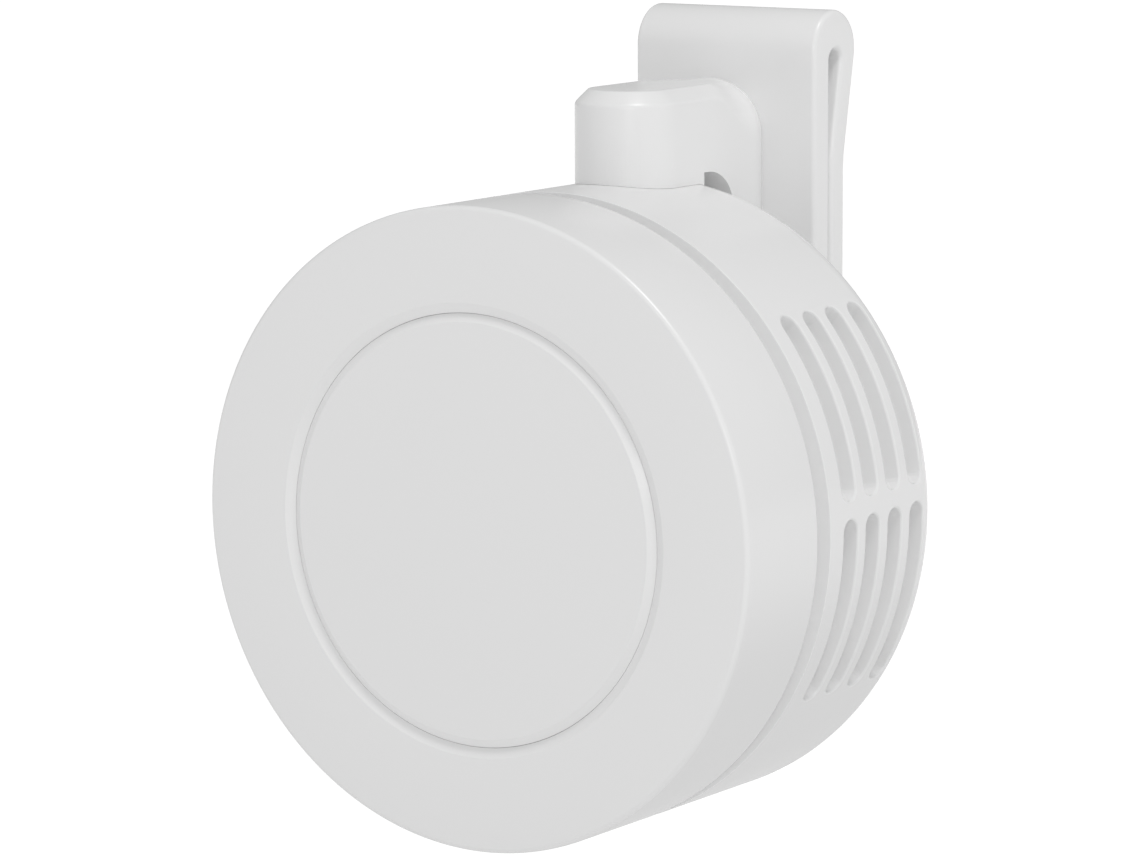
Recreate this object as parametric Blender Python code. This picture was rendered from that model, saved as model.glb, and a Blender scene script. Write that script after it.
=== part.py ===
"""Clip-on round environmental sensor, modelled as an assembly of separate pieces.

Metres, Z up, the front of the drum faces -Y. The origin is the middle of the flat inner face
of the clip's fixed leg, which is the face that bears on whatever the clip is pushed onto.
"""
import math

import bmesh
import bpy
from mathutils import Matrix, Vector

MM = 0.001

# ---- driving dimensions, mm. Y_ values run back from the front face of the drum, Z_ values
# ---- run up from the axis of the drum.
DRUM_R = 30.0
DRUM_DEPTH = 35.2
WALL = 2.2
FRONT_FILLET = 0.5
REAR_FILLET = 4.5
GROOVE_FRONT = 11.95        # edges of the groove between the two shells
GROOVE_BACK = 14.25
GROOVE_R = 28.4             # floor of the groove

OPENING_R = 21.1            # countersunk opening in the front face
BORE_R = 20.2               # bore behind the countersink
BUTTON_R = 20.05
BUTTON_FACE_R = 19.35       # flat of the button inside its chamfer
SINK_DEPTH = 0.45
FLANGE_R = 21.6
BUTTON_TRAVEL = 0.8

SLOT_Y = (17.95, 21.9, 25.9, 29.9)
SLOT_WIDTH = 2.45
SLOT_SPANS = ((5.7, 40.7), (-32.3, 2.4))    # degrees above the horizontal plane

BOSS_AT = 24.9              # radius of the circle of case bosses
BOSS_R = 2.6
BOSS_ANGLES = (60.0, 120.0, 240.0, 300.0)
STANDOFF_ANGLES = (0.0, 180.0, 270.0)
STANDOFF_AT = 24.2

BOARD_Y = 6.5               # front of the main board
BOARD_T = 1.6
SENSOR_BOARD_Y = 22.2
SENSOR_BOARD_T = 1.0

POST_R = 5.2                # neck: half width and end radius
POST_Y = 27.0               # axis of the front end of the neck
NECK_TOP = 38.8
NECK_CHAMFER = 1.3
NECK_BACK_WALL = 32.1       # back of the part that stands on the drum
GAP_ARC = (32.8, 26.8)      # centre (y, z) of the quarter-round top of the gap
NECK_GAP_TOP = 30.6
COLUMN_FRONT = 37.3
DOME_START = 34.0           # from here the chamfered top turns into a dome
DOME_Y = 41.1               # axis of the rounded back end
DOME_BASE = 33.2
COLUMN_BOTTOM = 13.5
NECK_SCREW_Y = (24.6, 29.4)

CLIP_FACE_Y = 44.0          # front face of the fixed leg
CLIP_HALF_WIDTH = 10.3
LEG_T = 2.9                 # fixed leg
REAR_T = 2.5                # sprung leg
LEG_GAP = 0.35
LOOP_WIDTH = 7.8            # front to back over the loop
LOOP_TOP = 45.37
LOOP_HOLE_R = 1.1           # inside of the loop
LOOP_HOLE_Z = 40.4
LOOP_END = -11.0            # degrees, where the loop turns into the straight rear leg
SPLIT_Z = 39.4              # where the sprung leg is parted from the loop
BEND_Z = 30.4               # below here the two legs lie side by side
CLIP_BOTTOM = -4.5
CLIP_EDGE = 0.45
CLIP_SCREW_Z = (19.5, 33.5)

GRIP_Y = CLIP_FACE_Y + LEG_T    # origin, in the dimensions above
GRIP_Z = 10.5
SEAT = 0.3                  # gap left between pieces that rest on one another
SHARP_ANGLE = 32.0          # degrees, above which an edge is shown sharp

MATERIALS = {
    "shell_plastic": ((0.800, 0.800, 0.800), 0.42, 0.0),
    "clip_plastic": ((0.800, 0.800, 0.800), 0.42, 0.0),
    "seal_rubber": ((0.350, 0.350, 0.360), 0.75, 0.0),
    "screen_mesh": ((0.560, 0.560, 0.560), 0.70, 0.0),
    "circuit_board": ((0.030, 0.160, 0.080), 0.45, 0.0),
    "dark_plastic": ((0.030, 0.030, 0.035), 0.50, 0.0),
    "steel": ((0.620, 0.620, 0.630), 0.32, 1.0),
    "spring_brass": ((0.720, 0.560, 0.250), 0.30, 1.0),
}


def clear_scene():
    for ob in list(bpy.data.objects):
        bpy.data.objects.remove(ob, do_unlink=True)
    for me in list(bpy.data.meshes):
        bpy.data.meshes.remove(me)
    for ma in list(bpy.data.materials):
        bpy.data.materials.remove(ma)


def material(name):
    """One Principled material, made the first time it is asked for."""
    if name in bpy.data.materials:
        return bpy.data.materials[name]
    color, rough, metal = MATERIALS[name]
    ma = bpy.data.materials.new(name)
    ma.use_nodes = True
    bsdf = ma.node_tree.nodes["Principled BSDF"]
    bsdf.inputs["Base Color"].default_value = (*color, 1.0)
    bsdf.inputs["Roughness"].default_value = rough
    bsdf.inputs["Metallic"].default_value = metal
    return ma


def world(x, y, z):
    """Drum dimensions in mm to the world frame in metres."""
    return Vector((x * MM, (y - GRIP_Y) * MM, (z - GRIP_Z) * MM))


def finish(bm, name, mat, origin=None):
    """Bmesh in drum dimensions to a named object in the world frame."""
    bmesh.ops.remove_doubles(bm, verts=bm.verts, dist=1e-5)
    bmesh.ops.recalc_face_normals(bm, faces=bm.faces)
    base = Vector((0, 0, 0)) if origin is None else world(*origin)
    for v in bm.verts:
        v.co = world(*v.co) - base
    me = bpy.data.meshes.new(name)
    bm.to_mesh(me)
    bm.free()
    ob = bpy.data.objects.new(name, me)
    ob.location = base
    bpy.context.scene.collection.objects.link(ob)
    if mat:
        me.materials.append(material(mat))
    return ob


def lathe(bm, profile, segments, centre=(0.0, 0.0, 0.0), axis="Y"):
    """Solid of revolution. profile is a closed loop of (radius, height) pairs; a pair with radius
    0 closes the ring next to it with a flat cap."""
    rings = []
    for r, h in profile:
        ring = []
        for i in range(segments if r > 0 else 0):
            a = 2 * math.pi * i / segments
            u, w = r * math.cos(a), r * math.sin(a)
            co = (u, h, w) if axis == "Y" else (u, w, h)
            ring.append(bm.verts.new(Vector(centre) + Vector(co)))
        rings.append(ring)
    for a, b in zip(rings, rings[1:] + rings[:1]):
        if a and b:
            for i in range(segments):
                j = (i + 1) % segments
                bm.faces.new((a[i], a[j], b[j], b[i]))
        elif a or b:
            bm.faces.new(a or b)


def box(bm, x, y, z):
    """Axis-aligned box from three (low, high) pairs."""
    bmesh.ops.create_cube(bm, size=1.0, matrix=Matrix.Translation(
        (sum(x) / 2, sum(y) / 2, sum(z) / 2)) @ Matrix.Diagonal(
        (x[1] - x[0], y[1] - y[0], z[1] - z[0], 1.0)))


def prism_x(bm, outline, x0, x1):
    """Outline of (y, z) points, extruded from x0 to x1."""
    left = [bm.verts.new((x0, y, z)) for y, z in outline]
    right = [bm.verts.new((x1, y, z)) for y, z in outline]
    bm.faces.new(left)
    bm.faces.new(list(reversed(right)))
    for i in range(len(outline)):
        j = (i + 1) % len(outline)
        bm.faces.new((left[i], right[i], right[j], left[j]))


def arc(cy, cz, r, start, end, steps):
    """(y, z) points on a circle, angles in degrees from +Y towards +Z."""
    pts = []
    for i in range(steps + 1):
        a = math.radians(start + (end - start) * i / steps)
        pts.append((cy + r * math.cos(a), cz + r * math.sin(a)))
    return pts


def combine(ob, builders, operation):
    """Exact boolean of an object with each solid that the builders draw."""
    for build in builders:
        bm = bmesh.new()
        build(bm)
        tool = finish(bm, "cutter", None)
        mod = ob.modifiers.new("cut", "BOOLEAN")
        mod.solver = "EXACT"
        mod.operation = operation
        mod.object = tool
        graph = bpy.context.evaluated_depsgraph_get()
        made = bpy.data.meshes.new_from_object(ob.evaluated_get(graph))
        ob.modifiers.clear()
        old = ob.data
        made.name = ob.name
        ob.data = made
        bpy.data.meshes.remove(old)
        mesh = tool.data
        bpy.data.objects.remove(tool, do_unlink=True)
        bpy.data.meshes.remove(mesh)
    return ob


def shade(ob):
    """Smooth shading that keeps edges sharper than the facets of a round piece."""
    ob.data.shade_smooth()
    ob.data.set_sharp_from_angle(angle=math.radians(SHARP_ANGLE))


def polar(radius, degrees):
    a = math.radians(degrees)
    return radius * math.cos(a), radius * math.sin(a)


def fillet(r_out, y_out, radius, quadrant, steps=4):
    """Rounded outer corner of a lathe profile, at the front or the back of the drum."""
    pts = []
    for i in range(steps + 1):
        a = math.pi / 2 * i / steps
        if quadrant == "front":
            pts.append((r_out - radius + radius * math.sin(a), y_out + radius - radius * math.cos(a)))
        else:
            pts.append((r_out - radius + radius * math.cos(a), y_out - radius + radius * math.sin(a)))
    return pts


def posts(at, angles, r, y0, y1, segments=16):
    """Round posts along the drum axis."""
    def build(bm):
        for ang in angles:
            x, z = polar(at, ang)
            lathe(bm, [(0, y0), (r, y0), (r, y1), (0, y1)], segments, (x, 0, z))
    return build


# ---------------------------------------------------------------- drum

def front_shell():
    bm = bmesh.new()
    inner = DRUM_R - WALL
    profile = [(BORE_R, WALL), (BORE_R, SINK_DEPTH), (OPENING_R, 0.0)]
    profile += fillet(DRUM_R, 0.0, FRONT_FILLET, "front")
    profile += [(DRUM_R, GROOVE_FRONT), (inner, GROOVE_FRONT), (inner, WALL)]
    lathe(bm, profile, 96)
    ob = finish(bm, "front_shell", "shell_plastic")
    combine(ob, [posts(BOSS_AT, BOSS_ANGLES, BOSS_R, WALL - 0.6, 12.6),
                 posts(STANDOFF_AT, STANDOFF_ANGLES, 2.2, WALL - 0.6, BOARD_Y - SEAT)], "UNION")
    return combine(ob, [posts(BOSS_AT, BOSS_ANGLES, 1.15, 7.0, 13.5),
                        posts(STANDOFF_AT, STANDOFF_ANGLES, 0.85, 3.2, 7.5)], "DIFFERENCE")


def front_button():
    bm = bmesh.new()
    lathe(bm, [(0, 0.0), (BUTTON_FACE_R, 0.0), (BUTTON_FACE_R + 0.3, 0.17), (BUTTON_R, SINK_DEPTH),
               (BUTTON_R, WALL + SEAT), (FLANGE_R, WALL + SEAT), (FLANGE_R, 3.5), (18.2, 3.5),
               (18.2, 1.9), (2.4, 1.9), (2.0, 2.0), (0, 2.0)], 72)
    return finish(bm, "front_button", "shell_plastic", (0, 0, 0))


def button_cushion():
    bm = bmesh.new()
    y1 = BOARD_Y - SEAT
    lathe(bm, [(18.4, 3.5 + BUTTON_TRAVEL + 0.1), (20.6, 3.5 + BUTTON_TRAVEL + 0.1), (21.2, y1),
               (17.8, y1)], 48)
    finish(bm, "button_cushion", "seal_rubber")


def tact_switch():
    bm = bmesh.new()
    box(bm, (-3.0, 3.0), (3.6, BOARD_Y - SEAT), (-3.0, 3.0))
    body = finish(bm, "switch_body", "dark_plastic")
    combine(body, [lambda b: lathe(b, [(0, 3.0), (1.9, 3.0), (1.9, 5.6), (0, 5.6)], 20)], "DIFFERENCE")
    bm = bmesh.new()
    lathe(bm, [(0, 2.3), (1.3, 2.3), (1.6, 2.6), (1.6, 4.6), (0, 4.6)], 20)
    finish(bm, "switch_plunger", "shell_plastic", (0, 0, 0))


def groove_ring():
    bm = bmesh.new()
    gap = 0.1
    lathe(bm, [(DRUM_R - WALL, GROOVE_FRONT + gap), (GROOVE_R, GROOVE_FRONT + gap),
               (GROOVE_R, GROOVE_BACK - gap), (DRUM_R - WALL, GROOVE_BACK - gap)], 96)
    finish(bm, "groove_ring", "shell_plastic")


def slot_cutter(bm, y, span, side, r_in, r_out, along=10, cap=6):
    """A slot with round ends, wrapped round the drum and cut straight out."""
    half = SLOT_WIDTH / 2
    tip = math.degrees(half / DRUM_R)
    lo, hi = span[0] + tip, span[1] - tip
    pts = []
    for i in range(cap + 1):
        a = math.radians(-90 + 180 * i / cap)
        pts.append((hi + tip * math.cos(a), y + half * math.sin(a)))
    for i in range(1, along):
        pts.append((hi + (lo - hi) * i / along, y + half))
    for i in range(cap + 1):
        a = math.radians(90 + 180 * i / cap)
        pts.append((lo + tip * math.cos(a), y + half * math.sin(a)))
    for i in range(1, along):
        pts.append((lo + (hi - lo) * i / along, y - half))
    rings = []
    for r in (r_in, r_out):
        ring = []
        for ang, yy in pts:
            x, z = polar(r, ang)
            ring.append(bm.verts.new((side * x, yy, z)))
        rings.append(ring)
    n = len(pts)
    for ring in rings:
        strips(bm, ring, cap, along)
    for i in range(n):
        j = (i + 1) % n
        bm.faces.new((rings[0][i], rings[0][j], rings[1][j], rings[1][i]))


def strips(bm, ring, cap, along):
    """Close a wrapped slot outline with cross strips, so that the cap follows the curve."""
    bm.faces.new(ring[:cap + 1])
    upper = ring[cap:cap + along + 1]
    lower = [ring[0]] + list(reversed(ring[2 * cap + along + 1:]))
    lower = lower[:along] + [ring[2 * cap + along]]
    for i in range(along):
        bm.faces.new((upper[i], upper[i + 1], lower[i + 1], lower[i]))
    bm.faces.new(ring[cap + along:2 * cap + along + 1])


def rear_shell():
    bm = bmesh.new()
    inner = DRUM_R - WALL
    back = DRUM_DEPTH
    profile = [(inner, GROOVE_BACK), (DRUM_R, GROOVE_BACK)]
    profile += fillet(DRUM_R, back, REAR_FILLET, "back", 6)
    profile += [(0, back), (0, back - WALL), (inner, back - WALL)]
    lathe(bm, profile, 96)
    ob = finish(bm, "rear_shell", "shell_plastic")
    combine(ob, [posts(BOSS_AT, BOSS_ANGLES, BOSS_R, 12.6 + SEAT, back - WALL + 0.6),
                 posts(16.0, (90.0, 270.0), 2.0, SENSOR_BOARD_Y + SENSOR_BOARD_T + SEAT,
                       back - WALL + 0.6)], "UNION")

    def slots(b):
        for side in (1, -1):
            for y in SLOT_Y:
                for span in SLOT_SPANS:
                    slot_cutter(b, y, span, side, inner - 1.5, DRUM_R + 1.5)

    def neck_holes(b):
        for y in NECK_SCREW_Y:
            lathe(b, [(0, 25.0), (1.3, 25.0), (1.3, 32.0), (0, 32.0)], 16, (0, y, 0), "Z")

    def case_holes(b):
        for ang in BOSS_ANGLES:
            x, z = polar(BOSS_AT, ang)
            lathe(b, [(0, 12.0), (1.3, 12.0), (1.3, 18.5), (2.1, 18.5), (2.1, back + 1.0),
                      (0, back + 1.0)], 16, (x, 0, z))

    return combine(ob, [slots, neck_holes, case_holes,
                        posts(16.0, (90.0, 270.0), 0.85, 22.0, 29.0)], "DIFFERENCE")


def vent_screen(name, side):
    """Thin curved dust screen behind the slots of one side."""
    bm = bmesh.new()
    steps = 14
    grid = []
    for i in range(steps + 1):
        ang = -37.0 + 82.0 * i / steps
        row = []
        for r, y in ((26.9, 15.6), (27.4, 15.6), (27.4, 32.6), (26.9, 32.6)):
            x, z = polar(r, ang)
            row.append(bm.verts.new((side * x, y, z)))
        grid.append(row)
    bm.faces.new(grid[0])
    bm.faces.new(list(reversed(grid[-1])))
    for a, b in zip(grid, grid[1:]):
        for i in range(4):
            j = (i + 1) % 4
            bm.faces.new((a[i], b[i], b[j], a[j]))
    finish(bm, name, "screen_mesh")


# ---------------------------------------------------------------- inside the drum

def screw(name, at, direction, head_r, head_h, shaft_r, length, countersunk=False):
    """A screw whose head seats at the given point and whose shaft runs along direction."""
    bm = bmesh.new()
    if countersunk:
        outline = [(0, -head_h), (head_r, -head_h), (shaft_r, 0), (shaft_r, length), (0, length)]
    else:
        outline = [(0, -head_h), (head_r * 0.8, -head_h), (head_r, -head_h * 0.7), (head_r, 0),
                   (shaft_r, 0), (shaft_r, length), (0, length)]
    lathe(bm, outline, 16)
    turn = Vector((0, 1, 0)).rotation_difference(Vector(direction)).to_matrix().to_4x4()
    bm.transform(Matrix.Translation(at) @ turn)
    finish(bm, name, "steel")


def main_board():
    bm = bmesh.new()
    lathe(bm, [(0, BOARD_Y), (26.9, BOARD_Y), (26.9, BOARD_Y + BOARD_T), (0, BOARD_Y + BOARD_T)], 48)
    ob = finish(bm, "main_board", "circuit_board")
    combine(ob, [posts(BOSS_AT, BOSS_ANGLES, BOSS_R + 0.6, 5.0, 10.0),
                 posts(STANDOFF_AT, STANDOFF_ANGLES, 1.15, 5.0, 10.0, 12)], "DIFFERENCE")
    bm = bmesh.new()
    box(bm, (-22.0, -15.4), (8.4, 10.4), (2.6, 12.6))
    finish(bm, "radio_shield", "steel")
    bm = bmesh.new()
    box(bm, (-5.0, 5.0), (8.4, 9.6), (-20.6, -17.4))
    finish(bm, "antenna_chip", "dark_plastic")


def battery():
    back = BOARD_Y + BOARD_T + SEAT
    bm = bmesh.new()
    lathe(bm, [(0, back), (14.0, back), (14.0, 17.2), (12.6, 17.2), (12.6, back + 1.5),
               (0, back + 1.5)], 48)
    finish(bm, "battery_holder", "dark_plastic")
    bm = bmesh.new()
    box(bm, (-2.5, 2.5), (back + 1.8, back + 2.05), (-9.0, 9.0))
    finish(bm, "contact_negative", "spring_brass")
    bm = bmesh.new()
    lathe(bm, [(0, 10.8), (11.3, 10.8), (11.3, 11.6), (12.25, 11.6), (12.25, 18.2),
               (11.95, 18.5), (0, 18.5)], 48)
    finish(bm, "coin_cell", "steel")
    bm = bmesh.new()
    outline = [(back, 14.3), (back, 14.7), (18.8 + 0.4, 14.7), (18.8 + 0.4, -14.7), (back, -14.7),
               (back, -14.3), (18.8, -14.3), (18.8, 14.3)]
    prism_x(bm, outline, -2.5, 2.5)
    finish(bm, "contact_positive", "spring_brass")


def sensor_board():
    y0, y1 = SENSOR_BOARD_Y, SENSOR_BOARD_Y + SENSOR_BOARD_T
    bm = bmesh.new()
    lathe(bm, [(0, y0), (21.2, y0), (21.2, y1), (0, y1)], 48)
    ob = finish(bm, "sensor_board", "circuit_board")
    combine(ob, [posts(16.0, (90.0, 270.0), 1.15, y0 - 1, y1 + 1, 12)], "DIFFERENCE")
    bm = bmesh.new()
    box(bm, (15.0, 19.0), (y1 + SEAT, y1 + SEAT + 1.2), (-1.0, 3.0))
    finish(bm, "humidity_sensor", "dark_plastic")
    bm = bmesh.new()
    lathe(bm, [(0, y1 + SEAT), (4.6, y1 + SEAT), (4.6, 28.4), (3.9, 29.0), (0, 29.0)], 24,
          (-13.5, 0, 2.0))
    finish(bm, "gas_sensor", "steel")
    bm = bmesh.new()
    box(bm, (-1.9, 1.9), (y1 + SEAT, y1 + SEAT + 1.0), (-10.9, -8.1))
    finish(bm, "pressure_sensor", "steel")
    bm = bmesh.new()
    box(bm, (17.2, 19.8), (8.4, y0 - SEAT), (-13.0, -3.0))
    finish(bm, "board_connector", "dark_plastic")


# ---------------------------------------------------------------- neck and clip

def neck_section(y):
    """Outline (x, z) of the neck at a distance y: chamfered at the front, a dome at the clip."""
    blend = min(max((y - DOME_START) / (DOME_Y - DOME_START), 0.0), 1.0)
    blend = blend * blend * (3 - 2 * blend)
    w = POST_R if y <= DOME_Y else math.sqrt(POST_R ** 2 - (y - DOME_Y) ** 2)
    rise = (NECK_TOP - DOME_BASE) * w / POST_R
    side = []
    steps = 8
    for i in range(steps + 1):
        s = i / steps
        if s <= 0.5:
            x0, z0 = w - NECK_CHAMFER * 2 * s, NECK_TOP - NECK_CHAMFER * (1 - 2 * s)
        else:
            x0, z0 = (w - NECK_CHAMFER) * 2 * (1 - s), NECK_TOP
        a = math.pi / 2 * s
        x1, z1 = w * math.cos(a), DOME_BASE + rise * math.sin(a)
        side.append((x0 + (x1 - x0) * blend, z0 + (z1 - z0) * blend))
    right = [(w, COLUMN_BOTTOM)] + side
    left = [(-x, z) for x, z in reversed(right[:-1])]
    return right + left


def neck_arm():
    bm = bmesh.new()
    stations = [POST_Y, 32.0, DOME_START, 35.5, 37.0, 38.5, 39.8, DOME_Y, 41.9, 42.7, 43.4,
                CLIP_FACE_Y - 0.1]
    rings = [[bm.verts.new((x, y, z)) for x, z in neck_section(y)] for y in stations]
    bm.faces.new(rings[0])
    bm.faces.new(list(reversed(rings[-1])))
    n = len(rings[0])
    for a, b in zip(rings, rings[1:]):
        for i in range(n):
            j = (i + 1) % n
            bm.faces.new((a[i], b[i], b[j], a[j]))
    ob = finish(bm, "neck_arm", "shell_plastic")

    def post(b):
        lathe(b, [(0, 20.0), (POST_R, 20.0), (POST_R, NECK_TOP - NECK_CHAMFER),
                  (POST_R - NECK_CHAMFER, NECK_TOP), (0, NECK_TOP)], 48, (0, POST_Y, 0), "Z")

    def seat(b):
        """The shape of the drum, a little larger, with the start of its rear fillet."""
        grow, end = 0.1, NECK_BACK_WALL + 0.2
        turn_y = DRUM_DEPTH - REAR_FILLET
        r = REAR_FILLET + grow
        last = math.asin((end - turn_y) / r)
        turn = [(DRUM_R - REAR_FILLET + r * math.cos(last * i / 4), turn_y + r * math.sin(last * i / 4))
                for i in range(5)]
        lathe(b, [(0, 10.0), (DRUM_R + grow, 10.0)] + turn + [(0, end)], 192)

    def gap(b):
        across, rise = COLUMN_FRONT - GAP_ARC[0], NECK_GAP_TOP - GAP_ARC[1]
        curve = [(GAP_ARC[0] + across * math.sin(math.pi / 2 * i / 10),
                  GAP_ARC[1] + rise * math.cos(math.pi / 2 * i / 10)) for i in range(11)]
        prism_x(b, [(NECK_BACK_WALL, 5.0), (NECK_BACK_WALL, NECK_GAP_TOP)] + curve
                + [(COLUMN_FRONT, 5.0)], -8.0, 8.0)

    def pilots(b):
        for y in NECK_SCREW_Y:
            lathe(b, [(0, 28.0), (1.05, 28.0), (1.05, 36.2), (0, 36.2)], 16, (0, y, 0), "Z")

    def clip_pilots(b):
        deep, out = COLUMN_FRONT + 1.7, CLIP_FACE_Y + 1.0
        for z in CLIP_SCREW_Z:
            lathe(b, [(0, deep), (0.95, deep), (0.95, out), (0, out)], 16, (0, 0, z))

    combine(ob, [post], "UNION")
    return combine(ob, [seat, gap, pilots, clip_pilots], "DIFFERENCE")


def side_bevel(ob):
    """Round the long edges of an extruded clip leg."""
    bm = bmesh.new()
    bm.from_mesh(ob.data)
    xs = [v.co.x for v in bm.verts]
    low, high = min(xs), max(xs)
    edges = []
    for e in bm.edges:
        at = (e.verts[0].co.x, e.verts[1].co.x)
        if max(at) < low + 1e-6 or min(at) > high - 1e-6:
            edges.append(e)
    bmesh.ops.bevel(bm, geom=edges, offset=CLIP_EDGE * MM, segments=2, profile=0.5, affect="EDGES")
    bm.to_mesh(ob.data)
    bm.free()


def clip():
    front = CLIP_FACE_Y
    grip = front + LEG_T
    r_out = LOOP_WIDTH / 2
    cy, cz = front + r_out, LOOP_TOP - r_out
    icy = grip + LOOP_HOLE_R
    outer = arc(cy, cz, r_out, 180, LOOP_END, 18)
    inner = arc(icy, LOOP_HOLE_Z, LOOP_HOLE_R, LOOP_END, 180, 8)
    rear_in, rear_out = grip + LEG_GAP, grip + LEG_GAP + REAR_T

    def slope(z, top, bottom):
        """Y on the straight run between the loop and the bend."""
        t = (z - BEND_Z) / (top[1] - BEND_Z)
        return bottom + (top[0] - bottom) * t

    def outside(z):
        return slope(z, outer[-1], rear_out)

    def inside(z):
        return slope(z, inner[0], rear_in)

    # fixed leg with the loop over the top
    pts = [(front, CLIP_BOTTOM + 1.0)] + outer
    pts += [(outside(SPLIT_Z), SPLIT_Z), (inside(SPLIT_Z), SPLIT_Z)] + inner
    pts += [(grip, CLIP_BOTTOM + 1.0), (grip - 0.8, CLIP_BOTTOM), (front + 0.8, CLIP_BOTTOM)]
    bm = bmesh.new()
    prism_x(bm, pts, -CLIP_HALF_WIDTH, CLIP_HALF_WIDTH)
    leg = finish(bm, "clip_fixed_leg", "clip_plastic")
    side_bevel(leg)

    def holes(b):
        for z in CLIP_SCREW_Z:
            lathe(b, [(0, front - 1), (1.3, front - 1), (1.3, front + 1.0), (2.45, grip - 0.45),
                      (2.45, grip + 1), (0, grip + 1)], 20, (0, 0, z))

    combine(leg, [holes], "DIFFERENCE")

    # sprung leg, which hinges at the outer edge of the split
    cut = SPLIT_Z - 0.12
    flare = 2.6
    pts = [(outside(cut), cut), (outside(BEND_Z + 1.0), BEND_Z + 1.0),
           (rear_out, BEND_Z - 1.0), (rear_out, 1.6), (rear_out + 0.25, 0.4),
           (rear_out + flare, CLIP_BOTTOM + 0.9), (rear_out + flare - 0.3, CLIP_BOTTOM),
           (rear_out + flare - 1.4, CLIP_BOTTOM - 0.1), (rear_in + 0.35, 0.0), (rear_in, 1.2),
           (rear_in, BEND_Z), (inside(cut), cut)]
    bm = bmesh.new()
    prism_x(bm, pts, -CLIP_HALF_WIDTH, CLIP_HALF_WIDTH)
    sprung = finish(bm, "clip_sprung_leg", "clip_plastic", (0, outside(SPLIT_Z), SPLIT_Z))
    side_bevel(sprung)


def build():
    clear_scene()
    front_shell()
    front_button()
    button_cushion()
    tact_switch()
    groove_ring()
    rear_shell()
    vent_screen("vent_screen_right", 1)
    vent_screen("vent_screen_left", -1)
    main_board()
    battery()
    sensor_board()
    for i, ang in enumerate(BOSS_ANGLES, 1):
        x, z = polar(BOSS_AT, ang)
        screw(f"case_screw_{i}", (x, 18.6, z), (0, -1, 0), 1.9, 1.5, 1.05, 10.4)
    for i, ang in enumerate(STANDOFF_ANGLES, 1):
        x, z = polar(STANDOFF_AT, ang)
        screw(f"board_screw_{i}", (x, 8.2, z), (0, -1, 0), 1.7, 1.1, 0.75, 4.6)
    for i, z in enumerate((16.0, -16.0), 1):
        screw(f"sensor_screw_{i}", (0, SENSOR_BOARD_Y - 0.1, z), (0, 1, 0), 1.7, 1.1, 0.75, 5.6)
    neck_arm()
    for i, y in enumerate(NECK_SCREW_Y, 1):
        screw(f"neck_screw_{i}", (0, y, DRUM_R - WALL - 0.15), (0, 0, 1), 2.0, 1.4, 0.95, 7.9)
    clip()
    for i, z in enumerate(CLIP_SCREW_Z, 1):
        screw(f"clip_screw_{i}", (0, CLIP_FACE_Y + LEG_T - 1.55, z), (0, -1, 0), 2.2, 1.1, 0.85,
              6.0, countersunk=True)
    for ob in bpy.context.scene.objects:
        shade(ob)


build()
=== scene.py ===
"""Looks for the clip-on environmental sensor: detailed shells, neck, clip and screws over the CAD
frame, moulded-plastic materials, and a plain white studio."""
import math

import bmesh
import bpy
from mathutils import Matrix, Vector

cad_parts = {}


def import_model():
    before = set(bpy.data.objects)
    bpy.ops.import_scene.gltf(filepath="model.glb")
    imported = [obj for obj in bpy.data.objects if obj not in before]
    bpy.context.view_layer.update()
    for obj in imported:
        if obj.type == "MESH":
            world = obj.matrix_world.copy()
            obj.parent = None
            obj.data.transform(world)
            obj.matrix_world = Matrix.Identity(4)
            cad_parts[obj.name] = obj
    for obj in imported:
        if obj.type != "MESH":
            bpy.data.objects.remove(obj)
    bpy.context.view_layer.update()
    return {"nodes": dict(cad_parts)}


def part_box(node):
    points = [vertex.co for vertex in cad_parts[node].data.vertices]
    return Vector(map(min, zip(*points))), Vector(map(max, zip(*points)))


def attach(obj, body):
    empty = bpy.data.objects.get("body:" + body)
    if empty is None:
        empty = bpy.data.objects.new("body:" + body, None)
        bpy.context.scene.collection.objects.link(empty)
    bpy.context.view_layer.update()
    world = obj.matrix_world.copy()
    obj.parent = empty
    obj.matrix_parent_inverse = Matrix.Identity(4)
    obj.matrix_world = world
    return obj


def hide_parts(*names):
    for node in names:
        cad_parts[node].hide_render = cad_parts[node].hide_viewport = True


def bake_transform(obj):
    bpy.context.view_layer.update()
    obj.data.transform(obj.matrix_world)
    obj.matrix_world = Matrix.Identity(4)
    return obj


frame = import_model()

MM = 0.001

# ---- sizes read from the frame, metres
FRONT_LO, FRONT_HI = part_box("front_shell")
REAR_LO, REAR_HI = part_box("rear_shell")
RING_LO, RING_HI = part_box("groove_ring")
BUTTON_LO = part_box("front_button")[0]
NECK_LO, NECK_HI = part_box("neck_arm")
LEG_LO, LEG_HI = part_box("clip_fixed_leg")

AXIS_Z = (FRONT_LO[2] + FRONT_HI[2]) / 2      # axis of the drum
DRUM_R = (FRONT_HI[0] - FRONT_LO[0]) / 2
Y_FRONT = FRONT_LO[1]

# ---- details of the CAD shapes, metres. Y_ offsets run back from the front face.
WALL = 2.2 * MM
FRONT_FILLET = 0.5 * MM
REAR_FILLET = 4.5 * MM
GROOVE_FRONT = 11.95 * MM
OPENING_R = 21.1 * MM
BORE_R = 20.16 * MM
BUTTON_R = 20.135 * MM
BUTTON_FACE_R = 19.35 * MM
SINK_DEPTH = 0.45 * MM
FLANGE_R = 21.6 * MM
BOSS_AT = 24.9 * MM
BOSS_R = 2.6 * MM
BOSS_ANGLES = (60.0, 120.0, 240.0, 300.0)
BOSS_SINK = 0.6 * MM            # how far a boss runs into the wall it stands on
FRONT_BOSS_END = 12.6 * MM
PILOT_R = 1.15 * MM
PILOT_FROM, PILOT_TO = 7.0 * MM, 13.5 * MM
CASE_HOLE_R, CASE_HOLE_FROM = 1.3 * MM, 12.0 * MM
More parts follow.
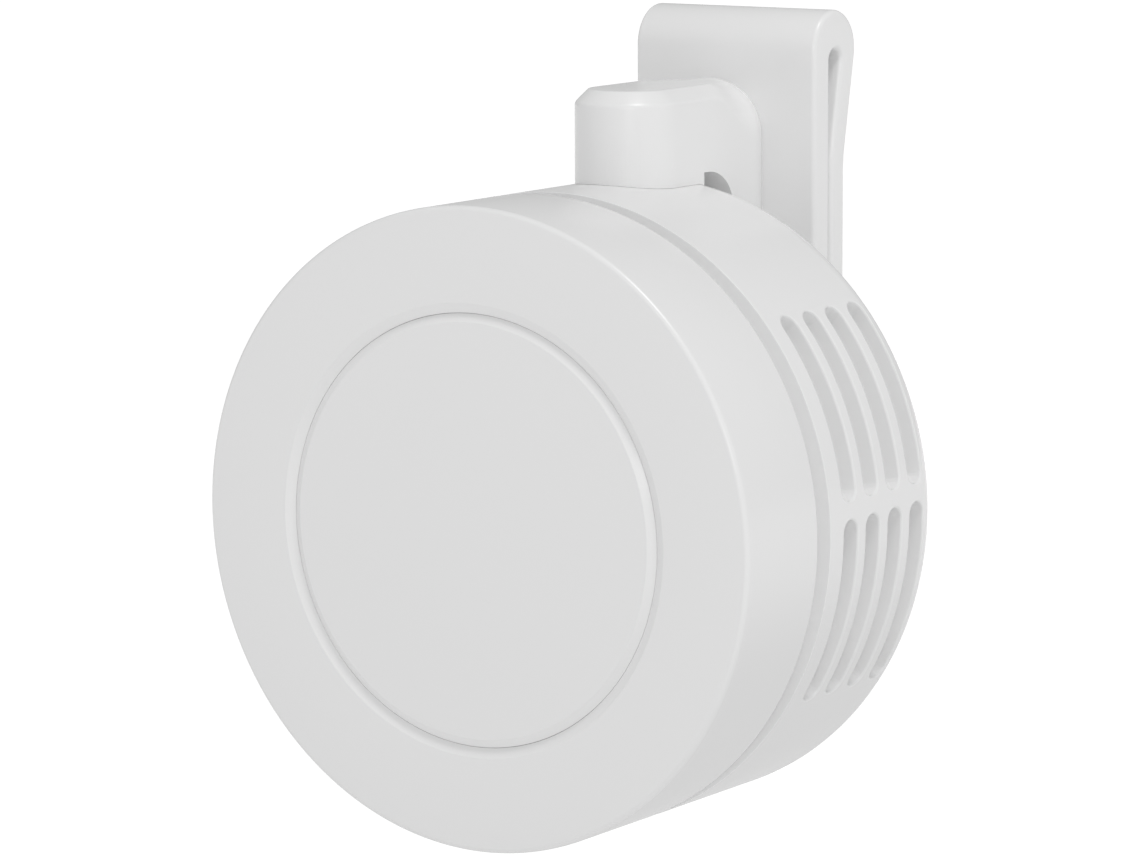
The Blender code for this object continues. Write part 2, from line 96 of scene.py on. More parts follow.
CASE_HEAD_R, CASE_HEAD_FROM = 2.1 * MM, 18.5 * MM
CASE_MOUTH = 0.4 * MM           # size of the broken edge where the screw holes come out
FLANGE_FROM, FLANGE_TO = 2.5 * MM, 3.5 * MM
DISC_HOLLOW_R, DISC_BACK = 18.2 * MM, 1.9 * MM
DISC_HUB_R, DISC_HUB_BACK = 2.4 * MM, 2.0 * MM
SCREEN_R = (27.2 * MM, 27.7 * MM)
SCREEN_ANGLES = (-37.0, 45.0)
SLOT_Y = (17.95 * MM, 21.9 * MM, 25.9 * MM, 29.9 * MM)
SLOT_WIDTH = 2.45 * MM
SLOT_EASE = 0.2 * MM            # broken edge round each slot's mouth
SLOT_SHARP = 15.0               # degrees, keeps the broken edge crisp
SLOT_SPANS = ((5.7, 40.7), (-32.3, 2.4))
POST_R = 5.2 * MM
POST_Y = Y_FRONT + 27.0 * MM
NECK_CHAMFER = 1.3 * MM
NECK_BACK_WALL = Y_FRONT + 32.1 * MM
COLUMN_FRONT = Y_FRONT + 37.3 * MM
GAP_CENTRE = (Y_FRONT + 32.8 * MM, AXIS_Z + 26.8 * MM)   # of the quarter-round top of the gap
GAP_TOP = AXIS_Z + 30.6 * MM
DOME_START = Y_FRONT + 34.0 * MM
DOME_Y = Y_FRONT + 41.1 * MM
DOME_BASE = AXIS_Z + 33.2 * MM
LEG_T = 2.9 * MM
REAR_T = 2.5 * MM
LEG_GAP = 0.35 * MM
LOOP_WIDTH = 7.8 * MM
LOOP_HOLE_R = 1.1 * MM
LOOP_HOLE_Z = AXIS_Z + 40.4 * MM
LOOP_END = -11.0                # degrees, where the loop turns into the straight rear leg
BEND_Z = AXIS_Z + 30.4 * MM
LIP = 2.6 * MM                  # how far the flared lip stands back
CLIP_SCREW_Z = (19.5 * MM, 33.5 * MM)
CLIP_HOLE_R, CLIP_SINK_R = 1.3 * MM, 2.45 * MM
CONTACT = 0.02 * MM             # gap left between pieces that look joined

ROUND = 256                     # segments round the drum


# ---------------------------------------------------------------- materials

def new_material(name):
    ma = bpy.data.materials.new(name)
    ma.use_nodes = True
    nodes = ma.node_tree.nodes
    return ma, nodes, ma.node_tree.links, nodes["Principled BSDF"]


def texture(nodes, links, kind, scale, **sockets):
    """A texture node in object space."""
    coords = nodes.new("ShaderNodeTexCoord")
    tex = nodes.new(kind)
    links.new(coords.outputs["Object"], tex.inputs["Vector"])
    tex.inputs["Scale"].default_value = scale
    for key, value in sockets.items():
        tex.inputs[key].default_value = value
    return tex


def tint(nodes, links, source, target, low, high):
    """Drives a colour socket from a texture, between two close colours."""
    ramp = nodes.new("ShaderNodeValToRGB")
    ramp.color_ramp.elements[0].position = 0.1
    ramp.color_ramp.elements[0].color = (*low, 1.0)
    ramp.color_ramp.elements[1].position = 0.9
    ramp.color_ramp.elements[1].color = (*high, 1.0)
    links.new(source, ramp.inputs["Fac"])
    links.new(ramp.outputs["Color"], target)


def spread(nodes, links, source, target, low, high):
    """Drives a value socket from a 0 to 1 output, between two values."""
    m = nodes.new("ShaderNodeMapRange")
    m.inputs["To Min"].default_value = low
    m.inputs["To Max"].default_value = high
    links.new(source, m.inputs["Value"])
    links.new(m.outputs["Result"], target)


def bump(nodes, links, source, bsdf, distance, strength=1.0):
    b = nodes.new("ShaderNodeBump")
    b.inputs["Distance"].default_value = distance
    b.inputs["Strength"].default_value = strength
    links.new(source, b.inputs["Height"])
    links.new(b.outputs["Normal"], bsdf.inputs["Normal"])


def moulded_plastic(name, grey, rough):
    """One even tone with the fine spark-eroded texture of a mould."""
    ma, nodes, links, bsdf = new_material(name)
    bsdf.inputs["Base Color"].default_value = (grey, grey, grey, 1.0)
    grain = texture(nodes, links, "ShaderNodeTexNoise", 5200.0, Detail=2.0)
    bump(nodes, links, grain.outputs["Fac"], bsdf, 0.004 * MM, 0.3)
    bsdf.inputs["Roughness"].default_value = rough
    bsdf.inputs["Specular IOR Level"].default_value = 0.45
    return ma


def metal(name, color, rough, streak_axis=1):
    """Plain metal with fine drawing lines."""
    ma, nodes, links, bsdf = new_material(name)
    coords = nodes.new("ShaderNodeTexCoord")
    mapping = nodes.new("ShaderNodeMapping")
    scale = [4000.0, 4000.0, 4000.0]
    scale[streak_axis] = 120.0
    mapping.inputs["Scale"].default_value = scale
    noise = nodes.new("ShaderNodeTexNoise")
    noise.inputs["Scale"].default_value = 1.0
    links.new(coords.outputs["Object"], mapping.inputs["Vector"])
    links.new(mapping.outputs["Vector"], noise.inputs["Vector"])
    tint(nodes, links, noise.outputs["Fac"], bsdf.inputs["Base Color"],
         tuple(c * 0.92 for c in color), color)
    spread(nodes, links, noise.outputs["Fac"], bsdf.inputs["Roughness"], rough - 0.06, rough + 0.06)
    bsdf.inputs["Metallic"].default_value = 1.0
    bump(nodes, links, noise.outputs["Fac"], bsdf, 0.003 * MM)
    return ma


def circuit_board(name):
    """Solder mask over faint copper tracks."""
    ma, nodes, links, bsdf = new_material(name)
    bricks = texture(nodes, links, "ShaderNodeTexBrick", 240.0)
    bricks.inputs["Color1"].default_value = (0.020, 0.120, 0.060, 1.0)
    bricks.inputs["Color2"].default_value = (0.026, 0.150, 0.074, 1.0)
    bricks.inputs["Mortar"].default_value = (0.050, 0.220, 0.110, 1.0)
    bricks.inputs["Mortar Size"].default_value = 0.06
    links.new(bricks.outputs["Color"], bsdf.inputs["Base Color"])
    bsdf.inputs["Roughness"].default_value = 0.35
    bump(nodes, links, bricks.outputs["Fac"], bsdf, 0.02 * MM)
    return ma


def woven_screen(name, grey):
    """Fine square weave, at about four threads to the millimetre."""
    ma, nodes, links, bsdf = new_material(name)
    threads = []
    for direction in ("Y", "Z"):
        wave = texture(nodes, links, "ShaderNodeTexWave", 640.0)
        wave.bands_direction = direction
        threads.append(wave)
    weave = nodes.new("ShaderNodeMath")
    weave.operation = "MAXIMUM"
    links.new(threads[0].outputs["Fac"], weave.inputs[0])
    links.new(threads[1].outputs["Fac"], weave.inputs[1])
    tint(nodes, links, weave.outputs["Value"], bsdf.inputs["Base Color"],
         (grey * 0.90,) * 3, (grey,) * 3)
    bsdf.inputs["Roughness"].default_value = 0.7
    bump(nodes, links, weave.outputs["Value"], bsdf, 0.02 * MM)
    return ma


def rubber(name, grey):
    ma, nodes, links, bsdf = new_material(name)
    noise = texture(nodes, links, "ShaderNodeTexNoise", 900.0, Detail=4.0)
    tint(nodes, links, noise.outputs["Fac"], bsdf.inputs["Base Color"],
         (grey * 0.94,) * 3, (grey * 1.04,) * 3)
    spread(nodes, links, noise.outputs["Fac"], bsdf.inputs["Roughness"], 0.72, 0.84)
    bump(nodes, links, noise.outputs["Fac"], bsdf, 0.01 * MM)
    return ma


SHELL = moulded_plastic("shell_white", 0.90, 0.27)
CLIP = moulded_plastic("clip_white", 0.90, 0.27)
BLACK = moulded_plastic("black_moulding", 0.035, 0.50)
STEEL = metal("plain_steel", (0.62, 0.62, 0.63), 0.32)
BRASS = metal("spring_brass", (0.72, 0.56, 0.25), 0.30, 0)
BOARD = circuit_board("green_board")
SCREEN = woven_screen("pale_weave", 0.90)
RUBBER = rubber("grey_silicone", 0.35)


# ---------------------------------------------------------------- mesh helpers

def make(bm, name, mat, body, *nodes, slot="shell_plastic", sharp=32.0):
    """Bmesh to a smooth-shaded piece that rides on a body and stands for CAD nodes."""
    bmesh.ops.remove_doubles(bm, verts=bm.verts, dist=1e-7)
    bmesh.ops.recalc_face_normals(bm, faces=bm.faces)
    me = bpy.data.meshes.new(name)
    bm.to_mesh(me)
    bm.free()
    ob = bpy.data.objects.new(name, me)
    bpy.context.scene.collection.objects.link(ob)
    me.materials.append(mat)
    shade(ob, sharp)
    if body:
        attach(ob, body)
    if nodes:
        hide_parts(*nodes)
    return ob


def shade(ob, sharp=32.0):
    ob.data.shade_smooth()
    ob.data.set_sharp_from_angle(angle=math.radians(sharp))


def polar(radius, degrees):
    a = math.radians(degrees)
    return radius * math.cos(a), radius * math.sin(a)


def lathe(bm, profile, segments, centre=(0.0, 0.0, 0.0), axis="Y"):
    """Solid of revolution round a closed loop of (radius, height) pairs. A radius of 0 makes a cap."""
    rings = []
    for r, h in profile:
        ring = []
        for i in range(segments if r > 0 else 0):
            u, w = polar(r, 360.0 * i / segments)
            co = (u, h, w) if axis == "Y" else (u, w, h)
            ring.append(bm.verts.new(Vector(centre) + Vector(co)))
        rings.append(ring)
    for a, b in zip(rings, rings[1:] + rings[:1]):
        if a and b:
            for i in range(segments):
                j = (i + 1) % segments
                bm.faces.new((a[i], a[j], b[j], b[i]))
        elif a or b:
            bm.faces.new(a or b)


def rounded(points, steps=4):
    """(u, v) outline with its corners rounded: each point is (u, v) or (u, v, radius)."""
    out = []
    n = len(points)
    for i, p in enumerate(points):
        if len(p) < 3 or p[2] <= 0:
            out.append((p[0], p[1]))
            continue
        here = Vector(p[:2])
        back = (Vector(points[i - 1][:2]) - here).normalized()
        ahead = (Vector(points[(i + 1) % n][:2]) - here).normalized()
        half = back.angle(ahead) / 2
        reach = p[2] / math.tan(half)
        centre = here + (back + ahead).normalized() * (p[2] / math.sin(half))
        a, b = here + back * reach - centre, here + ahead * reach - centre
        turn = a.angle_signed(b)
        for k in range(steps + 1):
            c, s = math.cos(-turn * k / steps), math.sin(-turn * k / steps)
            out.append((centre.x + a.x * c - a.y * s, centre.y + a.x * s + a.y * c))
    return out


def cut(ob, build, operation="DIFFERENCE"):
    """Exact boolean of a piece with the solid that build draws."""
    bm = bmesh.new()
    build(bm)
    bmesh.ops.recalc_face_normals(bm, faces=bm.faces)
    me = bpy.data.meshes.new("cutter")
    bm.to_mesh(me)
    bm.free()
    tool = bpy.data.objects.new("cutter", me)
    bpy.context.scene.collection.objects.link(tool)
    mod = ob.modifiers.new("cut", "BOOLEAN")
    mod.solver = "EXACT"
    mod.operation = operation
    mod.object = tool
    graph = bpy.context.evaluated_depsgraph_get()
    made = bpy.data.meshes.new_from_object(ob.evaluated_get(graph))
    ob.modifiers.clear()
    ob.data = made
    bpy.data.objects.remove(tool, do_unlink=True)
    bpy.data.meshes.remove(me)


def posts(at, angles, profile, segments=24):
    """Copies of one turned shape along the drum axis, on a circle round it."""
    def build(bm):
        for ang in angles:
            x, z = polar(at, ang)
            lathe(bm, profile, segments, (x, 0, AXIS_Z + z))
    return build


def rod(r, y0, y1):
    return [(0, y0), (r, y0), (r, y1), (0, y1)]


CENTRE = (0.0, 0.0, AXIS_Z)


# ---------------------------------------------------------------- drum

def front_shell():
    f = Y_FRONT
    inner = DRUM_R - WALL
    profile = rounded([(BORE_R, f + WALL), (BORE_R, f + SINK_DEPTH, 0.06 * MM),
                       (OPENING_R, f, 0.10 * MM), (DRUM_R, f, FRONT_FILLET),
                       (DRUM_R, f + GROOVE_FRONT, 0.08 * MM), (inner, f + GROOVE_FRONT),
                       (inner, f + WALL)], 8)
    bm = bmesh.new()
    lathe(bm, profile, ROUND, CENTRE)
    ob = make(bm, "shell_front", SHELL, None)
    cut(ob, posts(BOSS_AT, BOSS_ANGLES, rod(BOSS_R, f + WALL - BOSS_SINK, f + FRONT_BOSS_END)), "UNION")
    cut(ob, posts(BOSS_AT, BOSS_ANGLES, rod(PILOT_R, f + PILOT_FROM, f + PILOT_TO)))
    shade(ob)
    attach(ob, "housing")
    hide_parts("front_shell")


def button():
    f = BUTTON_LO[1]
    profile = rounded([(0, f), (BUTTON_FACE_R, f, 0.18 * MM), (BUTTON_R, f + SINK_DEPTH, 0.10 * MM),
                       (BUTTON_R, f + FLANGE_FROM), (FLANGE_R, f + FLANGE_FROM, 0.2 * MM),
                       (FLANGE_R, f + FLANGE_TO, 0.2 * MM), (DISC_HOLLOW_R, f + FLANGE_TO, 0.1 * MM),
                       (DISC_HOLLOW_R, f + DISC_BACK), (DISC_HUB_R, f + DISC_BACK),
                       (DISC_HUB_R - 0.4 * MM, f + DISC_HUB_BACK), (0, f + DISC_HUB_BACK)], 6)
    bm = bmesh.new()
    lathe(bm, profile, ROUND, CENTRE)
    make(bm, "button_disc", SHELL, "button", "front_button")


def groove_ring():
    lo, hi = RING_LO[1], RING_HI[1]
    outer = (RING_HI[0] - RING_LO[0]) / 2
    profile = rounded([(DRUM_R - WALL, lo), (outer, lo, 0.1 * MM), (outer, hi, 0.1 * MM),
                       (DRUM_R - WALL, hi)], 3)
    bm = bmesh.new()
    lathe(bm, profile, ROUND, CENTRE)
    make(bm, "groove_band", SHELL, "housing", "groove_ring")


def slot_outline(y, span, grow, along=24, cap=12):
    """(degrees, y) points round a slot with round ends, made wider by grow on every side."""
    half = SLOT_WIDTH / 2
    tip = math.degrees(half / DRUM_R)
    wide = math.degrees((half + grow) / DRUM_R)
    lo, hi = span[0] + tip, span[1] - tip
    pts = []
    for i in range(cap + 1):
        a = math.radians(-90 + 180 * i / cap)
        pts.append((hi + wide * math.cos(a), y + (half + grow) * math.sin(a)))
    for i in range(1, along):
        pts.append((hi + (lo - hi) * i / along, y + half + grow))
    for i in range(cap + 1):
        a = math.radians(90 + 180 * i / cap)
        pts.append((lo + wide * math.cos(a), y + (half + grow) * math.sin(a)))
    for i in range(1, along):
        pts.append((lo + (hi - lo) * i / along, y - half - grow))
    return pts


def slot_cutter(bm, y, span, side, along=24, cap=12):
    """A slot through the wall, whose mouth is eased by a small rounded edge."""
    ease, past = SLOT_EASE, 0.4 * MM
    levels = [(DRUM_R - WALL - 1.2 * MM, 0.0), (DRUM_R - ease, 0.0),
              (DRUM_R - 0.35 * ease, 0.25 * ease), (DRUM_R, ease), (DRUM_R + past, ease + past)]
    rings = []
    for r, grow in levels:
        ring = []
        for ang, yy in slot_outline(y, span, grow, along, cap):
            x, z = polar(r, ang)
            ring.append(bm.verts.new((side * x, yy, AXIS_Z + z)))
        rings.append(ring)
    for ring in (rings[0], rings[-1]):
        close_slot(bm, ring, cap, along)
    n = len(rings[0])
    for a, b in zip(rings, rings[1:]):
        for i in range(n):
            j = (i + 1) % n
            bm.faces.new((a[i], a[j], b[j], b[i]))


def close_slot(bm, ring, cap, along):
    """Closes a slot outline with cross strips, so that the end follows the curve of the drum."""
    bm.faces.new(ring[:cap + 1])
    bm.faces.new(ring[cap + along:2 * cap + along + 1])
    upper = ring[cap:cap + along + 1]
    lower = [ring[0]] + ring[:2 * cap + along - 1:-1]
    for i in range(along):
        bm.faces.new((upper[i], upper[i + 1], lower[i + 1], lower[i]))


def rear_shell():
    f = Y_FRONT
    lo, hi = REAR_LO[1], REAR_HI[1]
    start = RING_HI[1] + 0.1 * MM
    inner = DRUM_R - WALL
    profile = rounded([(inner, start), (DRUM_R, start, 0.08 * MM), (DRUM_R, hi, REAR_FILLET),
                       (0, hi), (0, hi - WALL), (inner, hi - WALL, 0.6 * MM)], 12)
    bm = bmesh.new()
    lathe(bm, profile, ROUND, CENTRE)
    ob = make(bm, "shell_rear", SHELL, None)
    cut(ob, posts(BOSS_AT, BOSS_ANGLES, rod(BOSS_R, lo, hi - WALL + BOSS_SINK)), "UNION")

    def slots(b):
        for side in (1, -1):
            for y in SLOT_Y:
                for span in SLOT_SPANS:
                    slot_cutter(b, f + y, span, side)

    cut(ob, slots)
    past = hi + CASE_MOUTH / 2
    cut(ob, posts(BOSS_AT, BOSS_ANGLES,
                  [(0, f + CASE_HOLE_FROM), (CASE_HOLE_R, f + CASE_HOLE_FROM),
                   (CASE_HOLE_R, f + CASE_HEAD_FROM), (CASE_HEAD_R, f + CASE_HEAD_FROM),
                   (CASE_HEAD_R, hi - CASE_MOUTH / 2), (CASE_HEAD_R + CASE_MOUTH, past), (0, past)]))
    shade(ob, SLOT_SHARP)
    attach(ob, "housing")
    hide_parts("rear_shell")


def vent_screen(side, name, node):
    """Thin curved sheet of weave behind the slots."""
    lo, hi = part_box(node)
    y0, y1 = lo[1], hi[1]
    r0, r1 = SCREEN_R
    first, last = SCREEN_ANGLES
    steps = 64
    bm = bmesh.new()
    rows = []
    for i in range(steps + 1):
        ang = first + (last - first) * i / steps
        row = []
        for r, y in ((r0, y0), (r1, y0), (r1, y1), (r0, y1)):
            x, z = polar(r, ang)
            row.append(bm.verts.new((side * x, y, AXIS_Z + z)))
        rows.append(row)
    bm.faces.new(rows[0])
    bm.faces.new(rows[-1])
    for a, b in zip(rows, rows[1:]):
        for i in range(4):
            j = (i + 1) % 4
            bm.faces.new((a[i], a[j], b[j], b[i]))
    make(bm, name, SCREEN, "housing", node, slot="screen_mesh")


# ---------------------------------------------------------------- neck

def neck_profile(y, plan, steps=5):
    """(distance from the spine, height) points over the neck at one place, bottom to top. It has a
    chamfer with eased edges at the front and turns into a round dome at the clip."""
    top = NECK_HI[2]
    blend = min(max((y - DOME_START) / (DOME_Y - DOME_START), 0.0), 1.0)
    blend = blend * blend * (3 - 2 * blend)
    ease = 0.35 * MM
    flat = rounded([(plan, 0.0), (plan, top - NECK_CHAMFER, ease * 2), (plan - NECK_CHAMFER, top, ease),
                    (0, top), (0, 0.0)], steps)[1:-1]
    rise = (top - DOME_BASE) * plan / POST_R
    out = []
    for i, (d, z) in enumerate(flat):
        a = math.pi / 2 * i / (len(flat) - 1)
        dome = (plan * math.cos(a), DOME_BASE + rise * math.sin(a))
        out.append((d + (dome[0] - d) * blend, z + (dome[1] - z) * blend))
    return [(plan, NECK_LO[2])] + out


def neck():
    plate = LEG_LO[1] - CONTACT
    columns = []
    straight = [plate - (plate - POST_Y) * i / 40 for i in range(40)]
    for side in (-1, 1):
        path = []
        for y in straight:
            plan = POST_R if y <= DOME_Y else math.sqrt(POST_R ** 2 - (y - DOME_Y) ** 2)
            path.append(((0.0, y), (side, 0.0), plan))
        columns.append(path)
    nose = []
    for i in range(49):
        a = math.pi + math.pi * i / 48
        nose.append(((0.0, POST_Y), (math.cos(a), math.sin(a)), POST_R))
    path = columns[0] + nose + columns[1][::-1]

    bm = bmesh.new()
    grid = []
    for (sx, sy), (nx, ny), plan in path:
        grid.append([bm.verts.new((sx + nx * d, sy + ny * d, z)) for d, z in neck_profile(sy, plan)])
    for a, b in zip(grid, grid[1:]):
        for i in range(len(a) - 1):
            bm.faces.new((a[i], a[i + 1], b[i + 1], b[i]))
    bm.faces.new(grid[0] + grid[-1][::-1])
    bm.faces.new([col[0] for col in grid])
    bmesh.ops.remove_doubles(bm, verts=bm.verts, dist=1e-7)
    bmesh.ops.dissolve_degenerate(bm, edges=bm.edges, dist=1e-7)
    ob = make(bm, "neck", SHELL, None)

    def seat(b):
        """The shape of the drum, with the start of its rear fillet."""
        r, turn_y, end = REAR_FILLET + CONTACT, REAR_HI[1] - REAR_FILLET, NECK_BACK_WALL + 0.2 * MM
        last = math.asin((end - turn_y) / r)
        turn = [(DRUM_R - REAR_FILLET + r * math.cos(last * i / 8), turn_y + r * math.sin(last * i / 8))
                for i in range(9)]
        lathe(b, [(0, Y_FRONT + 10 * MM), (DRUM_R + CONTACT, Y_FRONT + 10 * MM)] + turn + [(0, end)],
              512, CENTRE)

    def gap(b):
        (mid_y, mid_z), low = GAP_CENTRE, AXIS_Z
        outline = [(NECK_BACK_WALL, low), (NECK_BACK_WALL, GAP_TOP)]
        for i in range(33):
            a = math.pi / 2 * i / 32
            outline.append((mid_y + (COLUMN_FRONT - mid_y) * math.sin(a),
                            mid_z + (GAP_TOP - mid_z) * math.cos(a)))
        outline.append((COLUMN_FRONT, low))
        rings = [[b.verts.new((x, y, z)) for y, z in outline] for x in (-8 * MM, 8 * MM)]
        for ring in rings:
            b.faces.new(ring)
        for i in range(len(outline)):
            j = (i + 1) % len(outline)
            b.faces.new((rings[0][i], rings[0][j], rings[1][j], rings[1][i]))

    cut(ob, seat)
    cut(ob, gap)
    shade(ob)
    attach(ob, "housing")
    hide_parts("neck_arm")


# ---------------------------------------------------------------- clip

CLIP_W = (LEG_HI[0] - LEG_LO[0]) / 2
CLIP_EDGE = 0.5 * MM
CLIP_SHARP = 50.0               # degrees


def clip_section(bm, outer, inner, shrink=0.0, steps=5):
    """One rounded-rectangle section of the clip, between its outer and inner (y, z) faces."""
    out, inn = Vector((0, *outer)), Vector((0, *inner))
    thick = (inn - out).length
    w, t0, t1 = CLIP_W - shrink, shrink, thick - shrink
    edge = min(CLIP_EDGE, (t1 - t0) * 0.45)
    loop = rounded([(w, t0, edge), (w, t1, edge), (-w, t1, edge), (-w, t0, edge)], steps)
    return [bm.verts.new(Vector((x, 0, 0)) + out + (inn - out) * (t / thick)) for x, t in loop]


def clip_sweep(name, stations):
    """Skin over sections, with the first end rounded off."""
    bm = bmesh.new()
    rings = []
    outer, inner = (Vector(p) for p in stations[0])
    next_outer, next_inner = (Vector(p) for p in stations[1])
    back = (outer + inner - next_outer - next_inner).normalized()
    for k in range(4):
        a = math.pi / 2 * k / 4
        push = back * CLIP_EDGE * math.cos(a) - back * CLIP_EDGE
        rings.append(clip_section(bm, outer + push, inner + push, CLIP_EDGE * (1 - math.sin(a))))
    for outer, inner in stations:
        rings.append(clip_section(bm, outer, inner))
    n = len(rings[0])
    for a, b in zip(rings, rings[1:]):
        for i in range(n):
            j = (i + 1) % n
            bm.faces.new((a[i], a[j], b[j], b[i]))
    bm.faces.new(rings[0])
    bm.faces.new(rings[-1])
    return make(bm, name, CLIP, None, sharp=CLIP_SHARP)


def run(a, b, steps):
    """Stations from a towards b, leaving b out."""
    out = []
    for k in range(steps):
        t = k / steps
        out.append(tuple((p[0] + (q[0] - p[0]) * t, p[1] + (q[1] - p[1]) * t) for p, q in zip(a, b)))
    return out


def clip():
    front, grip = LEG_LO[1], LEG_LO[1] + LEG_T
    bottom, top = LEG_LO[2], LEG_HI[2]
    r_out = LOOP_WIDTH / 2
    cy, cz = front + r_out, top - r_out
    icy = grip + LOOP_HOLE_R
    rear_in, rear_out = grip + LEG_GAP, grip + LEG_GAP + REAR_T

    def at(angle):
        c, s = math.cos(math.radians(angle)), math.sin(math.radians(angle))
        return (cy + r_out * c, cz + r_out * s), (icy + LOOP_HOLE_R * c, LOOP_HOLE_Z + LOOP_HOLE_R * s)

    fixed = run(((front, bottom), (grip, bottom)), at(180), 12) + [at(180)]
    leg = clip_sweep("clip_front_leg", fixed)

    def holes(b):
        for z in CLIP_SCREW_Z:
            before, past = front - 1 * MM, grip + 0.2 * MM
            lathe(b, [(0, before), (CLIP_HOLE_R, before), (CLIP_HOLE_R, front + 1 * MM),
                      (CLIP_SINK_R, grip - 0.45 * MM), (CLIP_SINK_R, past), (0, past)],
                  32, (0, 0, AXIS_Z + z))

    cut(leg, holes)
    shade(leg, CLIP_SHARP)
    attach(leg, "housing")
    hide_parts("clip_fixed_leg")

    bend = ((rear_out + 0.13 * MM, BEND_Z + 0.9 * MM), (rear_in + 0.05 * MM, BEND_Z + 0.5 * MM))
    below = ((rear_out, BEND_Z - 0.6 * MM), (rear_in, BEND_Z - 0.3 * MM))
    knee = ((rear_out, AXIS_Z + 1.8 * MM), (rear_in, AXIS_Z + 1.3 * MM))
    past = ((rear_out + 0.45 * MM, AXIS_Z + 0.2 * MM), (rear_in + 0.25 * MM, AXIS_Z - 0.2 * MM))
    tip = ((rear_out + LIP - 0.1 * MM, bottom + 0.5 * MM), (rear_out + LIP - 1.7 * MM, bottom - 0.1 * MM))
    rear = [tip] + run(tip, past, 4)[1:] + [past] + run(past, knee, 4)[1:]
    rear += run(knee, below, 10) + run(below, bend, 4) + run(bend, at(LOOP_END), 10)
    rear += [at(LOOP_END + (180 - LOOP_END) * k / 40) for k in range(41)]
    loop = clip_sweep("clip_spring_leg", rear)
    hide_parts("clip_sprung_leg")
    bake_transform(loop)


# ---------------------------------------------------------------- screws

THREAD_PITCH = 0.45 * MM


def screw(node, head):
    """A small turned screw with a round socket and ringed thread, in the CAD screw's place."""
    lo, hi = (Vector(c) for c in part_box(node))
    size = hi - lo
    along = max(range(3), key=lambda k: size[k])
    centre = (lo + hi) / 2
    if node.startswith("sensor"):
        direction = Vector((0, 1, 0))
    elif along == 2:
        direction = Vector((0, 0, 1))
    else:
        direction = Vector((0, -1, 0))
    length = size[along]
    head_r = min(size[k] for k in range(3) if k != along) / 2
    shaft_r, head_h = head
    bm = bmesh.new()
    socket, deep = head_r * 0.42, head_h * 0.6
    under_r = head_r * (0.45 if node.startswith("clip") else 1.0)     # a clip screw is countersunk
    profile = rounded([(0, deep), (socket, deep), (socket, 0), (head_r, 0, head_h * 0.2),
                       (under_r, head_h), (shaft_r, head_h)], 4)
    turns = int((length - head_h) / THREAD_PITCH)
    step = (length - head_h) / turns
    for k in range(turns):
        y = head_h + step * (k + 0.25)
        profile += [(shaft_r, y), (shaft_r * 1.08, y + step * 0.25), (shaft_r, y + step * 0.5)]
    profile += [(shaft_r * 0.7, length), (0, length)]
    lathe(bm, profile, 32)
    turn = Vector((0, 1, 0)).rotation_difference(direction).to_matrix().to_4x4()
    start = centre - direction * (length / 2)
    bm.transform(Matrix.Translation(start) @ turn)
    make(bm, node.replace("_screw", "_bolt"), STEEL, "housing", node, slot="steel")


def screws():
    heads = {"case": (1.05 * MM, 1.5 * MM), "board": (0.75 * MM, 1.1 * MM),
             "sensor": (0.75 * MM, 1.1 * MM), "neck": (0.95 * MM, 1.4 * MM),
             "clip": (0.85 * MM, 1.1 * MM)}
    for node in sorted(frame["nodes"]):
        kind = node.split("_")[0]
        if "_screw_" in node:
            screw(node, heads[kind])


# ---------------------------------------------------------------- inner CAD nodes

INNER = {
    "button_cushion": RUBBER, "switch_body": BLACK, "switch_plunger": SHELL, "main_board": BOARD,
    "sensor_board": BOARD, "radio_shield": STEEL, "antenna_chip": BLACK, "battery_holder": BLACK,
    "coin_cell": STEEL, "contact_negative": BRASS, "contact_positive": BRASS,
    "humidity_sensor": BLACK, "pressure_sensor": STEEL, "gas_sensor": STEEL,
    "board_connector": BLACK,
}


def inner_nodes():
    for node, mat in INNER.items():
        for slot in frame["nodes"][node].material_slots:
            slot.material = mat


# ---------------------------------------------------------------- studio

AIM = Vector((6.90, -40.57, -1.07)) * MM
DISTANCE = 458.05 * MM
AZIMUTH, ELEVATION, ROLL = 33.79, 8.61, -0.24
LENS = 157.9
FLOOR_Z = -0.30
FLOOR_UNDER, FLOOR_FAR = 0.08, 0.86   # light given off by the floor
FLOOR_REACH = 1.1
SKY = 0.43
KEY = ((0.35, -0.20, 0.90), 0.25, 3.15)         # place, size of its square face, watts
FRONT_LIGHT = ((0.51, -0.83, 0.21), 0.12, 0.95)
LIGHT_AIM = (0.0, -0.03, -0.01)


def camera():
    az, el = math.radians(AZIMUTH), math.radians(ELEVATION)
    back = Vector((math.sin(az) * math.cos(el), -math.cos(az) * math.cos(el), math.sin(el)))
    data = bpy.data.cameras.new("camera")
    data.lens = LENS
    data.sensor_width = 36.0
    data.clip_start = 0.01
    ob = bpy.data.objects.new("camera", data)
    bpy.context.scene.collection.objects.link(ob)
    ob.location = AIM + back * DISTANCE
    level = back.to_track_quat("Z", "Y").to_matrix()
    ob.rotation_euler = (level @ Matrix.Rotation(math.radians(ROLL), 3, "Z")).to_euler()
    bpy.context.scene.camera = ob


def softbox(name, location, size, power):
    data = bpy.data.lights.new(name, "AREA")
    data.size = size
    data.energy = power
    ob = bpy.data.objects.new(name, data)
    bpy.context.scene.collection.objects.link(ob)
    ob.location = location
    ob.rotation_euler = (Vector(location) - Vector(LIGHT_AIM)).to_track_quat("Z", "Y").to_euler()


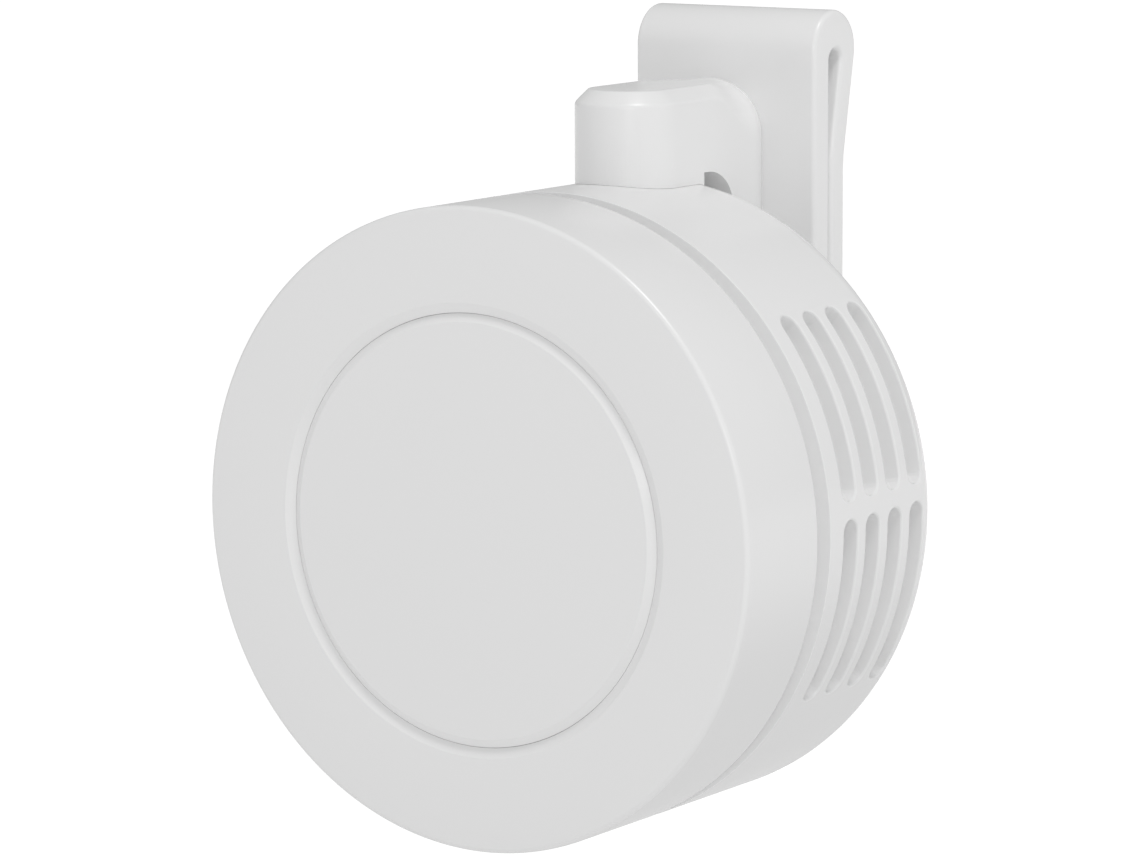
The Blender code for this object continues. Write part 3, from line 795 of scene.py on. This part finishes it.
def texture_distance(nodes, links):
    """An output that is 0 under the object and 1 from FLOOR_REACH outwards."""
    coords = nodes.new("ShaderNodeTexCoord")
    length = nodes.new("ShaderNodeVectorMath")
    length.operation = "LENGTH"
    share = nodes.new("ShaderNodeMath")
    share.operation = "DIVIDE"
    share.use_clamp = True
    share.inputs[1].default_value = FLOOR_REACH
    links.new(coords.outputs["Object"], length.inputs[0])
    links.new(length.outputs["Value"], share.inputs[0])
    return share.outputs["Value"]


def floor():
    """A plain white floor that gives off some light of its own, more of it farther out."""
    bm = bmesh.new()
    bmesh.ops.create_grid(bm, x_segments=1, y_segments=1, size=12.0,
                          matrix=Matrix.Translation((0, 0, FLOOR_Z)))
    ma, nodes, links, bsdf = new_material("white_floor")
    noise = texture(nodes, links, "ShaderNodeTexNoise", 3.0)
    tint(nodes, links, noise.outputs["Fac"], bsdf.inputs["Base Color"], (0.40,) * 3, (0.41,) * 3)
    bsdf.inputs["Roughness"].default_value = 0.9
    bsdf.inputs["Emission Color"].default_value = (1.0, 1.0, 1.0, 1.0)
    reach = texture_distance(nodes, links)
    spread(nodes, links, reach, bsdf.inputs["Emission Strength"], FLOOR_UNDER, FLOOR_FAR)
    me = bpy.data.meshes.new("floor")
    bm.to_mesh(me)
    bm.free()
    me.materials.append(ma)
    ob = bpy.data.objects.new("floor", me)
    bpy.context.scene.collection.objects.link(ob)


def world():
    w = bpy.data.worlds.new("studio")
    w.use_nodes = True
    background = w.node_tree.nodes["Background"]
    background.inputs["Color"].default_value = (1.0, 1.0, 1.0, 1.0)
    background.inputs["Strength"].default_value = SKY
    bpy.context.scene.world = w
    bpy.context.scene.view_settings.view_transform = "Standard"


def main():
    front_shell()
    button()
    groove_ring()
    rear_shell()
    vent_screen(1, "vent_weave_right", "vent_screen_right")
    vent_screen(-1, "vent_weave_left", "vent_screen_left")
    neck()
    clip()
    screws()
    inner_nodes()
    camera()
    world()
    floor()
    softbox("key", *KEY)
    softbox("front", *FRONT_LIGHT)


main()
